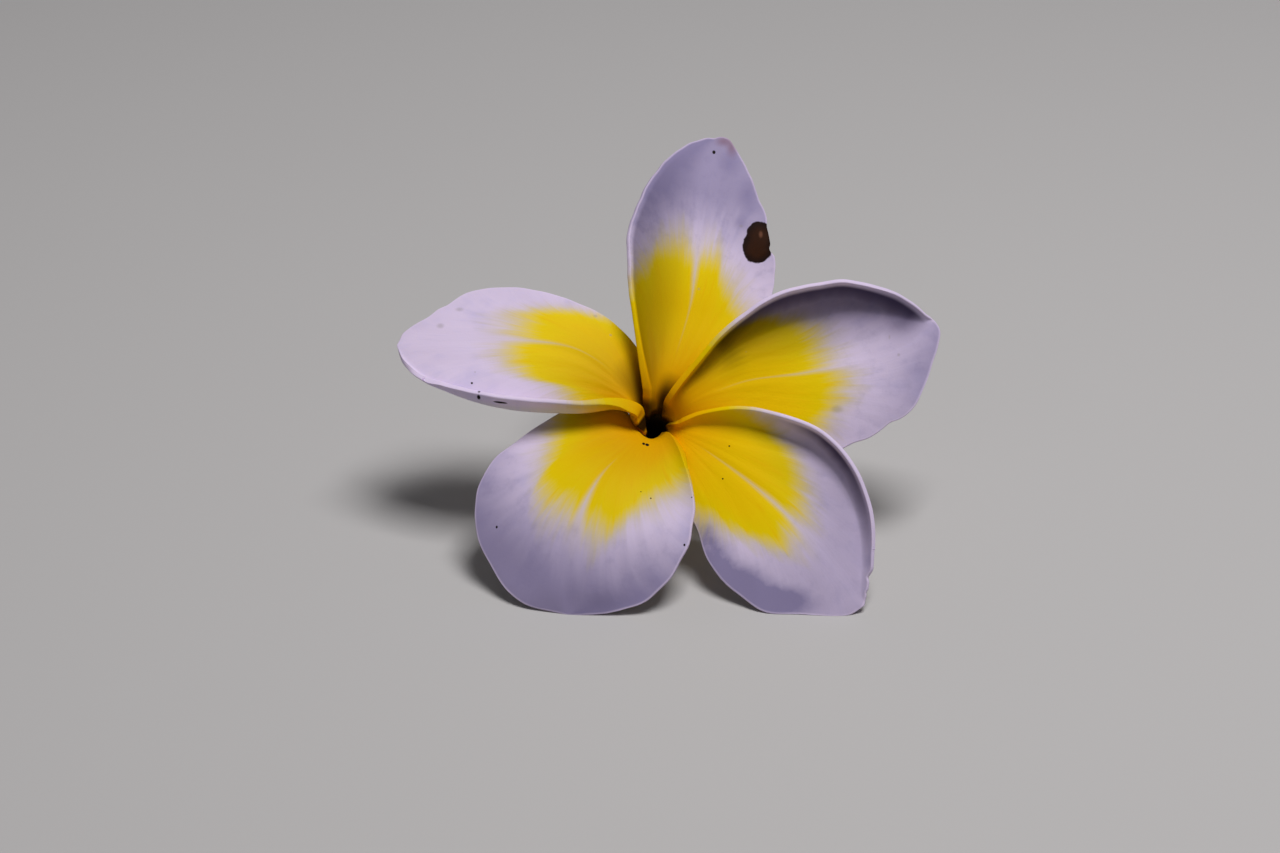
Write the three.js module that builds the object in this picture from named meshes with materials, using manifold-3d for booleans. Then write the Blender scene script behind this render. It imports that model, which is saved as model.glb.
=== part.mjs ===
// A fallen frangipani bloom: five overlapping petals set like a pinwheel round a narrow throat,
// the slender tube behind them, and the small anthers deep inside the tube.
//
// Each petal is laid out in flower coordinates in millimetres: x to the right and y up the face of the bloom,
// n out along the bloom's own axis, with the centre of the throat at the origin. The bloom is then
// tipped back as it lies, on its two lower petals and the end of its tube. In the finished part Z is up,
// the ground is z = 0 and the face looks along -Y.
import * as THREE from 'three';
import { mergeVertices } from 'three/addons/utils/BufferGeometryUtils.js';
import Module from 'manifold-3d';

// posture
const AXIS_ELEVATION = 50; // degrees of the bloom's axis above the ground
const THROAT_HEIGHT = 16.7; // height of the throat's centre above the ground
const THROAT_X = -1.91; // place of the throat's centre across and along the ground, which
const THROAT_Y = -2.29; // sets the origin under the middle of the whole bloom

// petal blade
const BLADE_THICKNESS = 0.7;
const EDGE_ROUNDING = 0.22; // how far the rounded margin bulges past the blade
const LIP_COLUMNS = [0, 0.16, 0.36, 0.62, 1]; // shares of the lip's width
const BLADE_COLUMNS = 8; // strips from the foot of the lip to the tucked edge
const ROWS = 21; // strips from the throat to the tip

// mouth of the throat, where the petals wind round one another
const MOUTH_N = -1.5; // level of the petals' lower ends along the axis
const MOUTH_RADIUS = 1.6; // inner radius at a petal's free edge
const MOUTH_STEP = 1.28; // how much further out the tucked edge passes beneath the next petal
const TUCK_ANGLE = 17; // degrees that a petal runs on beneath the next one

// tube
const TUBE_LENGTH = 20.4;
const TUBE_MOUTH_N = -1.85;
const TUBE_MOUTH_RADIUS = 3.95;
const TUBE_NECK_N = -7;
const TUBE_RADIUS = 2.0;
const TUBE_WALL = 0.8;
const TUBE_FACETS = 32;

// anthers
const ANTHER_COUNT = 5;
const ANTHER_LENGTH = 2.6;
const ANTHER_RADIUS = 0.32;
const ANTHER_RING_RADIUS = 0.42;
const ANTHER_LEAN = 0.1; // how far each tip closes towards the axis
const ANTHER_N = -14;

// Petals. lipTurn and nextTurn are degrees clockwise from the top round the mouth, of a petal's own
// free edge and of the next petal's, which covers its other side. lip runs along the free, overlying edge and tuck
// along the edge that passes beneath the next petal; rib is the middle. lipRise is the height of the
// standing lip and lipLean how far it leans inwards, at equal steps from the throat to the tip.
const PETALS = [
  {
    name: 'petal_top',
    lipTurn: -36,
    nextTurn: 40,
    lip: [[-1.4, 3.6, 2.3], [-3.4, 13.5, 6.2], [-4.2, 20, 7.6], [-3.9, 26.5, 8], [0.5, 36, 7], [4.6, 40, 5.9], [7.6, 41.3, 5.2]],
    rib: [[1.6, 5, 1.6], [4.9, 15.5, 3.6], [6, 23.5, 4.8], [7.4, 33, 5.2]],
    tuck: [[5.2, 3.6, 0.2], [9.6, 7, 1.0], [14.2, 12.5, 1.8], [17, 20.3, 2.4], [16.1, 29.1, 3.2], [12.6, 37.9, 4.5],
      [10.4, 41.1, 4.9]],
    tip: [9, 41.6, 5],
    lipRise: [0, 2, 3, 2.6, 1.2, 0.2],
    lipLean: 0.4,
    lipWidth: [1.2, 2.2, 3, 3.4, 3.4, 3],
  },
  {
    name: 'petal_right',
    lipTurn: 40,
    nextTurn: 96,
    lip: [[1.8, 2.7, 2.5], [5.3, 6.8, 5], [9.9, 11.5, 7.5], [16, 15.4, 9], [22.3, 17.2, 9.5], [27.4, 17.8, 9.3],
      [33.2, 16.5, 8], [36.9, 14.5, 6.6]],
    rib: [[4.6, 2.2, 1.6], [12, 5.2, 3.2], [20.4, 6.2, 4], [29, 8, 4.4], [35.5, 10.3, 5]],
    tuck: [[5.6, -2.2, 0], [12.5, -4.2, 0.8], [19.5, -6.4, 1.2], [26.4, -5, 1.8], [32.1, -2.1, 2.4], [35.9, 0.4, 3],
      [38.2, 5.2, 4]],
    tip: [39.9, 11.4, 5.4],
    lipRise: [0, 2.2, 4.2, 4.8, 3.4, 0.4],
    lipLean: 0.3,
    lipWidth: [1.2, 2.4, 4, 5.4, 6, 5],
  },
  {
    name: 'petal_lower_right',
    lipTurn: 96,
    nextTurn: 142,
    lip: [[3.9, -0.5, 2.5], [7, 0, 4.5], [12.2, -0.3, 7], [17.6, -1.8, 8.3], [22.9, -4.5, 8.7], [27, -8.6, 8.5],
      [29.8, -15, 7.3], [30.4, -21.3, 5.5], [29.8, -26.4, 4]],
    rib: [[3.8, -3, 1.6], [9.4, -7.5, 3.6], [16, -13.4, 4.6], [22, -20, 4.8]],
    tuck: [[1.6, -4.6, 0], [2.6, -10.6, 1.2], [5.7, -16.6, 1.8], [7.3, -21.6, 2.2], [10.9, -26, 2.6], [14.8, -28.9, 2.8],
      [20.5, -29.3, 3], [26.3, -29.4, 3]],
    tip: [28.6, -28.2, 3.3],
    lipRise: [0, 2.6, 3.6, 3.4, 2, 0.3],
    lipLean: 0.5,
    lipWidth: [1.2, 2.4, 3, 4, 3.6, 3],
  },
  {
    name: 'petal_lower_left',
    lipTurn: 142,
    nextTurn: 228,
    lip: [[2.3, -2.4, 1.5], [3.6, -4.8, 3], [4.9, -9, 4.6], [5.8, -13.9, 5.8], [5.6, -17.2, 6.2], [4.5, -21.3, 6.2],
      [2, -25.3, 5.4], [-1.8, -28.2, 4.2], [-6.4, -29.3, 3.3]],
    rib: [[-1.6, -3.2, 1.2], [-4.5, -6.5, 3.8], [-7.8, -11, 5.4], [-10.5, -17.5, 6], [-11.8, -24.5, 4.8]],
    tuck: [[-3.9, 1.4, -0.5], [-8.6, 2.9, 0.7], [-13.6, 0.5, 1.4], [-19, -3.5, 1.9], [-22.5, -6.6, 2], [-24.8, -11.1, 2],
      [-24.6, -17.4, 1.8], [-22, -23, 1.8], [-18.2, -27.4, 2.2]],
    tip: [-12, -29.5, 2.8],
    lipRise: [0, 1.2, 1.2, 0.8, 0.3, 0],
    lipLean: 0.2,
    lipWidth: [1.2, 1.6, 2, 2, 2, 2],
  },
  {
    name: 'petal_left',
    lipTurn: 228,
    nextTurn: 324,
    lip: [[-1.2, -0.2, 1.2], [-1.8, 0.6, 2.6], [-4.9, 1, 4.4], [-10.4, 0, 6.2], [-18.7, 0, 7], [-25.1, 1, 6.6],
      [-28.8, 2.4, 6], [-33, 5, 4.8]],
    rib: [[-3.4, 3, 1.6], [-10.5, 8.4, 3.4], [-18.6, 9.8, 4.2], [-27.5, 10, 4.4]],
    tuck: [[-0.6, 4.6, 0], [-2, 9.8, 0.8], [-6.4, 14.5, 1.8], [-12, 17.2, 2.6], [-18.6, 18.8, 3], [-25.4, 18.5, 3.4],
      [-30.4, 15.4, 3.8], [-34.2, 12.8, 4]],
    tip: [-36.1, 9.6, 4.2],
    lipRise: [0, 3.4, 3.8, 3.6, 2.4, 0.3],
    lipLean: 1.5,
    lipWidth: [1.4, 2, 2.2, 2.6, 3, 3],
  },
];

const wasm = await Module();
wasm.setup();

const radians = THREE.MathUtils.degToRad;
const axisSin = Math.sin(radians(AXIS_ELEVATION));
const axisCos = Math.cos(radians(AXIS_ELEVATION));

// flower coordinates to the part's own
function toPart([x, y, n]) {
  return [THROAT_X + x, THROAT_Y + y * axisSin - n * axisCos, THROAT_HEIGHT + y * axisCos + n * axisSin];
}

function mouthPoint(petal, turn) {
  const share = (turn - petal.lipTurn) / (petal.nextTurn - petal.lipTurn);
  const radius = MOUTH_RADIUS + MOUTH_STEP * share;
  return [radius * Math.sin(radians(turn)), radius * Math.cos(radians(turn)), MOUTH_N];
}

function rail(points) {
  const curve = new THREE.CatmullRomCurve3(points.map((p) => new THREE.Vector3(...p)), false, 'centripetal');
  curve.arcLengthDivisions = 400;
  return curve;
}

// a smooth value along the petal, from values at equal steps
function along(values, s) {
  const curve = new THREE.CatmullRomCurve3(values.map((v, k) => new THREE.Vector3(k, v, 0)), false, 'catmullrom');
  return curve.getPoint(s).y;
}

// a point on the smooth curve through three, at shares 0, 0.5 and 1
function through([a, b, c], t) {
  const p = a.clone().multiplyScalar((1 - t) * (1 - 2 * t));
  return p.addScaledVector(b, 4 * t * (1 - t)).addScaledVector(c, t * (2 * t - 1));
}

// The front face of a petal as rows of points from the throat to just short of the tip. A row is a smooth curve
// through lip, rib and tucked edge, with the lip's wall standing up at its free end. The first rows
// settle onto the winding of the mouth.
function petalRows(petal) {
  const tuckTurn = petal.nextTurn + TUCK_ANGLE;
  const turns = [petal.lipTurn, (petal.lipTurn + tuckTurn) / 2, tuckTurn];
  const starts = turns.map((turn) => mouthPoint(petal, turn));
  const rails = [petal.lip, petal.rib, petal.tuck].map((points, k) => rail([starts[k], ...points, petal.tip]));
  const mouth = starts.map((p) => new THREE.Vector3(...p));
  const rows = [];
  for (let i = 0; i < ROWS; i += 1) {
    const even = i / ROWS;
    const s = even + 0.12 * Math.sin(2 * Math.PI * even) / (2 * Math.PI);
    const [a, b, c] = rails.map((curve) => curve.getPointAt(s));
    const rise = Math.max(along(petal.lipRise, s), 0);
    const inward = new THREE.Vector3(b.x - a.x, b.y - a.y, 0);
    const half = inward.length();
    inward.normalize();
    a.addScaledVector(inward, BLADE_THICKNESS * Math.min(rise, 1));
    const width = Math.min(along(petal.lipWidth, s), half * 0.7);
    const lean = petal.lipLean * rise / Math.max(...petal.lipRise);
    const foot = a.clone().addScaledVector(inward, -lean);
    foot.z -= rise;
    const lipShare = width / (2 * (half + lean));
    const shares = LIP_COLUMNS.map((k) => k * lipShare);
    for (let j = 1; j <= BLADE_COLUMNS; j += 1) {
      shares.push(lipShare + (1 - lipShare) * j / BLADE_COLUMNS);
    }
    const settle = Math.max(1 - s / 0.12, 0) ** 2;
    rows.push(shares.map((t) => {
      const p = through([foot, b, c], t);
      const wall = Math.max(1 - t / lipShare, 0) ** 2;
      p.addScaledVector(inward, lean * wall);
      p.z += rise * wall;
      const wound = new THREE.Vector3(...mouthPoint(petal, petal.lipTurn + (tuckTurn - petal.lipTurn) * t));
      return p.addScaledVector(wound.sub(through(mouth, t)), settle);
    }));
  }
  return { rows, tip: new THREE.Vector3(...petal.tip) };
}

// A closed blade of even thickness behind the front face, with a rounded margin. Both faces
// are split along the same diagonals.
function petalGeometry(petal) {
  const { rows, tip } = petalRows(petal);
  const columns = rows[0].length;
  const front = [...rows.flat(), tip];
  const tipIndex = front.length - 1;
  const at = (i, j) => (i >= ROWS ? tipIndex : i * columns + j);
  const faces = [];
  for (let i = 0; i < ROWS; i += 1) {
    for (let j = 0; j < columns - 1; j += 1) {
      faces.push([at(i, j), at(i, j + 1), at(i + 1, j + 1)]);
      if (i < ROWS - 1) {
        faces.push([at(i, j), at(i + 1, j + 1), at(i + 1, j)]);
      }
    }
  }
  const normals = front.map(() => new THREE.Vector3());
  for (const [a, b, c] of faces) {
    const u = front[b].clone().sub(front[a]);
    const v = front[c].clone().sub(front[a]);
    const face = u.cross(v);
    for (const k of [a, b, c]) {
      normals[k].add(face);
    }
  }
  normals.slice(0, columns).forEach((v) => v.setZ(0));
  normals.forEach((v) => v.normalize());
  const back = front.map((p, k) => p.clone().addScaledVector(normals[k], -BLADE_THICKNESS));

  const rim = [];
  for (let i = 0; i < ROWS; i += 1) {
    rim.push(at(i, 0));
  }
  rim.push(tipIndex);
  for (let i = ROWS - 1; i >= 0; i -= 1) {
    rim.push(at(i, columns - 1));
  }
  for (let j = columns - 2; j > 0; j -= 1) {
    rim.push(at(0, j));
  }
  const edge = rim.map((k, m) => {
    const before = front[rim[(m + rim.length - 1) % rim.length]];
    const after = front[rim[(m + 1) % rim.length]];
    const out = after.clone().sub(before).cross(normals[k]).normalize();
    const bulge = k < columns ? 0 : EDGE_ROUNDING;
    return front[k].clone().lerp(back[k], 0.5).addScaledVector(out, -bulge);
  });
  const count = front.length;
  const points = [...front, ...back, ...edge];
  const triangles = [];
  for (const [a, b, c] of faces) {
    triangles.push([a, b, c], [count + a, count + c, count + b]);
  }
  rim.forEach((k, m) => {
    const next = (m + 1) % rim.length;
    const [f0, f1, b0, b1] = [k, rim[next], count + k, count + rim[next]];
    const [e0, e1] = [2 * count + m, 2 * count + next];
    triangles.push([f0, f1, e1], [f0, e1, e0], [e0, e1, b1], [e0, b1, b0]);
  });
  return geometryOf(points.map((p) => toPart(p.toArray())), triangles);
}

function geometryOf(points, triangles) {
  const geometry = new THREE.BufferGeometry();
  geometry.setAttribute('position', new THREE.Float32BufferAttribute(points.flat(), 3));
  geometry.setIndex(triangles.flat());
  return geometry;
}

function toManifold(geometry) {
  const plain = geometry.clone();
  plain.deleteAttribute('normal');
  plain.deleteAttribute('uv');
  const merged = mergeVertices(plain, 1e-5);
  const mesh = new wasm.Mesh({
    numProp: 3,
    vertProperties: Float32Array.from(merged.attributes.position.array),
    triVerts: Uint32Array.from(merged.index.array),
  });
  return new wasm.Manifold(mesh);
}

function fromManifold(solid) {
  const mesh = solid.getMesh();
  const geometry = new THREE.BufferGeometry();
  geometry.setAttribute('position', new THREE.BufferAttribute(Float32Array.from(mesh.vertProperties), 3));
  geometry.setIndex(new THREE.BufferAttribute(Uint32Array.from(mesh.triVerts), 1));
  return geometry;
}

// everything below the ground is taken off, which leaves the small flats that it rests on
function trimmed(geometry) {
  const ground = new THREE.BoxGeometry(200, 200, 40);
  ground.translate(0, 0, -20);
  return fromManifold(toManifold(geometry).subtract(toManifold(ground)));
}

// a shape turned about its own Y is stood along the bloom's axis
function standOnAxis(geometry) {
  const out = new THREE.Vector3(0, -axisCos, axisSin);
  const up = new THREE.Vector3(0, axisSin, axisCos);
  const frame = new THREE.Matrix4().makeBasis(new THREE.Vector3(1, 0, 0), out, up.clone().negate());
  frame.setPosition(...toPart([0, 0, 0]));
  return geometry.applyMatrix4(frame);
}

function tubeGeometry() {
  const inner = TUBE_RADIUS - TUBE_WALL;
  const mouthInner = TUBE_MOUTH_RADIUS - TUBE_WALL;
  const profile = [
    [TUBE_RADIUS, -TUBE_LENGTH],
    [TUBE_RADIUS, (TUBE_NECK_N - TUBE_LENGTH) / 2],
    [TUBE_RADIUS + 0.1, TUBE_NECK_N],
    [TUBE_RADIUS + 0.6, TUBE_NECK_N + 2.4],
    [TUBE_MOUTH_RADIUS, TUBE_MOUTH_N],
    [mouthInner, TUBE_MOUTH_N],
    [inner + 0.5, TUBE_NECK_N + 2.2],
    [inner, TUBE_NECK_N],
    [inner, -TUBE_LENGTH],
    [TUBE_RADIUS, -TUBE_LENGTH],
  ].map(([radius, n]) => new THREE.Vector2(radius, n));
  return standOnAxis(new THREE.LatheGeometry(profile, TUBE_FACETS));
}

function stamensGeometry() {
  let cluster = null;
  for (let k = 0; k < ANTHER_COUNT; k += 1) {
    const profile = [
      [0, 0],
      [ANTHER_RADIUS * 0.8, ANTHER_LENGTH * 0.08],
      [ANTHER_RADIUS, ANTHER_LENGTH * 0.35],
      [ANTHER_RADIUS * 0.7, ANTHER_LENGTH * 0.75],
      [0, ANTHER_LENGTH],
    ].map(([radius, n]) => new THREE.Vector2(radius, n));
    const anther = new THREE.LatheGeometry(profile, 10);
    anther.rotateZ(ANTHER_LEAN);
    anther.translate(ANTHER_RING_RADIUS, ANTHER_N - ANTHER_LENGTH / 2, 0);
    anther.rotateY(2 * Math.PI * k / ANTHER_COUNT);
    const solid = toManifold(anther);
    cluster = cluster ? cluster.add(solid) : solid;
  }
  return standOnAxis(fromManifold(cluster));
}

function named(name, geometry, color) {
  const mesh = new THREE.Mesh(geometry, new THREE.MeshStandardMaterial({ color, roughness: 0.6 }));
  mesh.name = name;
  return mesh;
}

const group = new THREE.Group();
group.name = 'frangipani_flower';
for (const petal of PETALS) {
  group.add(named(petal.name, trimmed(petalGeometry(petal)), 0xf2ecf5));
}
group.add(named('corolla_tube', trimmed(tubeGeometry()), 0xe9e3c4));
group.add(named('stamens', stamensGeometry(), 0xd9b13a));

export default group;
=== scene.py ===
"""A fallen frangipani flower: five overlapping petals, the tube behind them and the anthers inside it.

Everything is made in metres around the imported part. The petals are drawn in the flower's own
millimetres first: x right, y up the face, n out along the bloom's axis, from the throat's centre.
"""

import math

import bpy
import numpy as np
from mathutils import Matrix, Vector


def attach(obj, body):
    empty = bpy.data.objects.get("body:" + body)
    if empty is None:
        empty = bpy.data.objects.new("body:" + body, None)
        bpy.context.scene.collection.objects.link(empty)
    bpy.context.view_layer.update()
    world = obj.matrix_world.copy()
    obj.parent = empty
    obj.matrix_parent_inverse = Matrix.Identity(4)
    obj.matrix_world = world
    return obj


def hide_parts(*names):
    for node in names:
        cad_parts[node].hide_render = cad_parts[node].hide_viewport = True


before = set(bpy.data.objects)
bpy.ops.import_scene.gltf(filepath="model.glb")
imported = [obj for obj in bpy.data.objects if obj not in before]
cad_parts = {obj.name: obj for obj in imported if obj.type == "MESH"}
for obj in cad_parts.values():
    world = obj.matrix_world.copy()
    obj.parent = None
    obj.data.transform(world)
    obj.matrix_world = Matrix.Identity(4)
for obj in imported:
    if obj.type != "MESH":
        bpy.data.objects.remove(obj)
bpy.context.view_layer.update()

bl_info = {
    "name": "Frangipani Flower",
    "version": (1, 0, 0),
    "blender": (4, 5, 0),
    "location": "3D Viewport > Sidebar > Frangipani",
    "description": "Makes the petals, tube and anthers of a frangipani flower, and a studio around it",
    "category": "Object",
}

MM = 0.001
AXIS_ELEVATION = math.radians(50)
THROAT = (-1.91, -2.29, 16.7)

# The petals start on a small spiral round the throat, in mm and degrees. Over the first share of
# their length they settle from it onto their own surface.
BLADE_MM = 0.7
MOUTH_N = -1.5
MOUTH_RADIUS = 1.6
MOUTH_STEP = 1.28
TUCK_ANGLE = 17
SETTLE_SHARE = 0.12
WIDEST_LIP = 0.7  # the most of a petal's half width that its lip takes

# Below the spiral each petal runs a little way down the tube, as (mm down, share of its radius).
ROOT_ROWS = ((1.7, 0.8), (1.25, 0.84), (0.8, 0.89), (0.4, 0.94))
ROOT_PAINT = 0.8  # how much nearer the throat those rows count in the finish, per mm down

# A petal's grid is a fan round its end. Its lines stand closer at each edge, as (how much, reach):
# lip and tucked margin, then throat and end. CHART_STEP is the step that its slopes are found over.
END_REACH = 0.16
ACROSS_CROWDING = ((2.2, 0.14), (1.2, 0.05))
UP_CROWDING = ((1.0, 0.08), (1.2, 0.02))
CHART_STEP = 0.002
CROWDING_STEPS = 2001
RAIL_STEPS = 401
OUTLINE_STEPS = 240
OUTLINE_PARTS = 12
RIPPLE_WAVES = 7
TINY = 1e-9
PETAL_LENGTH_MM = 45
FULL_WEIGHT = 0.002  # metres of thickness at a weight of 1
SAME_PLACE = 1e-6
SMOOTH_ANGLE = math.radians(60)
PETAL_SEED = 11
SEED_STEP = 17

# Relief of a petal: mm high, mm of reach from the midrib or the edge, and how fast it repeats.
GROOVE_REACH = 0.8
VEIN_HEIGHT, VEINS_X, VEINS_Y = 0.028, 26, 3
SWELL_HEIGHT, SWELL_REACH, SWELLS_S, SWELLS_T = 0.16, 3, 4, 2.6
WAVE_REACH, WAVES_X, WAVES_S = 2.6, 7, 1.5
BEAD_HEIGHT, BEAD_REACH = 0.09, 0.55
UNEVEN_HEIGHT, UNEVEN_X = 0.09, 22
DENT_REACH = 1.6

# Thickness in mm over a petal: reach of the thin margin and of the lip's rim, the midrib's extra
# thickness and reach, and the reach of the lip's thicker root and its place and length in shares.
MARGIN_REACH = 2.2
RIM_REACH = 1.1
RIB_EXTRA, RIB_REACH = 0.3, 0.7
TONGUE_REACH, TONGUE_AT, TONGUE_LENGTH = 1.5, 0.1, 0.13

# Shares of a petal's length over which things fade in.
RELIEF_IN = (0.06, 0.2)
GROOVE_OUT = (0.8, 0.4)
WAVE_IN = (0.3, 0.5)
LIP_IN, LIP_OUT = (0, 0.1), (1, 0.8)
UNEVEN_IN = (0.2, 0.4)
RIB_OUT = (1, 0.5)
THROAT_OUT = (0.15, 0)
TONGUE_IN = (0, 0.04)

# Each mark's strength and the softness of its edge, how unevenly the edges run, and how far two
# dried patches run together. The lighter fleck in a dried patch is a painted glint.
MARK_TONES = {
    "brown": (1.0, 0.05), "scar": (0.6, 0.5), "dark": (1.0, 0.15), "dusky": (0.38, 0.7),
    "bruise": (0.38, 1.1), "blush": (0.65, 1.1),
}
MARK_WOBBLE = 0.3
PATCH_JOIN = 0.8

# Streaks, then fine hairs, on a petal: how many round its fan, how many a mm outwards, seed.
LINES = ((34, 0.13, 0), (130, 0.22, 7))

# The blends of the finishes: where each starts, where it is full, its share, and how far streaks
# and then hairs shift it. They are in mm, or in shares where what they read is one.
BLENDS = {
    "yellow": (-2.4, 3, 1), "cream": (-5.5, 2, 0.75, 2.5, 1.5), "wedge": (-0.5, 0.6, 0.85, 0, 0.4),
    "cool": (0.45, 0.8, 0.55, 0.5), "cool hairs": (0.02, 0.3, 0.16), "band start": (12, 20, 1),
    "mottle": (0.46, 0.74, 0.35, 0.3), "mottle start": (14, 28, 1),
    "orange": (4, 15, 1, 5), "lemon": (9, 1, 1), "orange hairs": (0.05, 0.4, 0.25, 1),
    "rib": (0.22, -0.03, 0.3), "rib start": (9, 15, 1),
    "lip side": (0.6, 0.05, 1), "off rim": (0.35, 1.1, 1), "off rib": (1, -3, 1),
    "rim highlight": (0.38, 0.1, 0.6), "past yellow": (1, -5, 1), "dim": (22, 8, 1),
    "back lines": (0, 0.5, 0.3, 0, 1), "back yellow": (14, 7, 1, 5), "back green": (6, 2.5, 0.8, 3),
    "back": (0.55, 0.95, 1), "back edge": (0.6, 2.2, 1), "root": (2.1, 1.5, 1), "patch": (0.35, 0.95, 1),
    "tube mouth": (-10, -2, 1), "tube clouds": (0.5, 0.75, 0.5), "tube torn": (-19, -20.3, 1),
    "flare": (-5.6, -1.6, 1.85), "flare wall": (0.1, -0.1, 1), "lining end": (-19.4, -18.4, 1),
    "bore": (1.5, 1.25, 1), "anther seams": (0.45, 0.7, 1),
}
YELLOW_SHIFT = (2.8, 2.2, 0.6)  # mm out for a streak, for a hair and for all of the yellow's edge
YELLOW_MM = 40  # the curve of the yellow's edge runs from 0 to this
WEDGE_SPAN = 24  # mm across a petal that the wedge's place is a share of
# The share of the painted shade in the throat's mouth.
MOUTH_DARK = 0.92

# How strongly one pattern sways another.
WEDGE_IN_CREAM = 0.8
COOL_EDGE = 0.01
DUSK_STREAK = 4
BAND_CLOUD = 0.2
WALL_STREAK = 1.5

# The shade on a lip's wall: mm from the edge where it is full, the least mm from the throat where
# it starts and is full, and how many mm later it starts than the shade beside it.
WALL_FULL, WALL_FROM, WALL_TO, WALL_DELAY = 0.8, 8, 15, 4
MARK_SEARCH = (0.02, 0.995, 500)  # shares and steps along a petal
LIP_FALL = 0.4  # mm that a mark outside the lip drops per mm out

# Scales that bring millimetres into the 0 to 1 range of a UV map.
RULER_MM = 100
EDGE_MM = 10
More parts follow.
